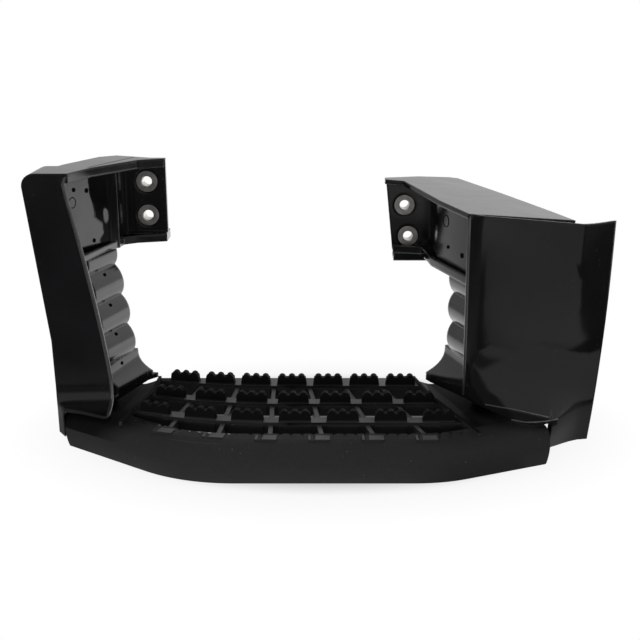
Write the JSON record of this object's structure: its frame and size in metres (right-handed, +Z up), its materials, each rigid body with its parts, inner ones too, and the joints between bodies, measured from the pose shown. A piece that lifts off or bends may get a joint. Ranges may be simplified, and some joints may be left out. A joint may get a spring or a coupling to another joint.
{
  "type": "truck cab step",
  "caption": "Black moulded lower cab step: a cleated tread with a deep curved skirt, hung between flexible hollow arms that bolt on through steel bushes.",
  "frame": {"origin": "middle of the bounding box, at the level of the bottom edge of the skirt", "axes": "+X right along the step, +Y to the chassis, +Z up"},
  "size_m": [0.5674, 0.2981, 0.269],
  "materials": {
    "tread_plastic": "matte",
    "arm_plastic": "gloss",
    "bush_steel": "satin",
    "fastener_steel": "satin"
  },
  "bodies": {
    "root": {"tread": "tread_plastic", "left_arm": "arm_plastic", "right_arm": "arm_plastic", "left_bush_upper": "bush_steel", "left_bush_lower": "bush_steel", "right_bush_upper": "bush_steel", "right_bush_lower": "bush_steel", "left_screw_outer": "fastener_steel", "left_sleeve_outer": "fastener_steel", "left_nut_outer": "fastener_steel", "left_screw_inner": "fastener_steel", "left_sleeve_inner": "fastener_steel", "left_nut_inner": "fastener_steel", "left_screw_rear": "fastener_steel", "left_sleeve_rear": "fastener_steel", "left_nut_rear": "fastener_steel", "right_screw_outer": "fastener_steel", "right_sleeve_outer": "fastener_steel", "right_nut_outer": "fastener_steel", "right_screw_inner": "fastener_steel", "right_sleeve_inner": "fastener_steel", "right_nut_inner": "fastener_steel", "right_screw_rear": "fastener_steel", "right_sleeve_rear": "fastener_steel", "right_nut_rear": "fastener_steel"}
  },
  "joints": []
}
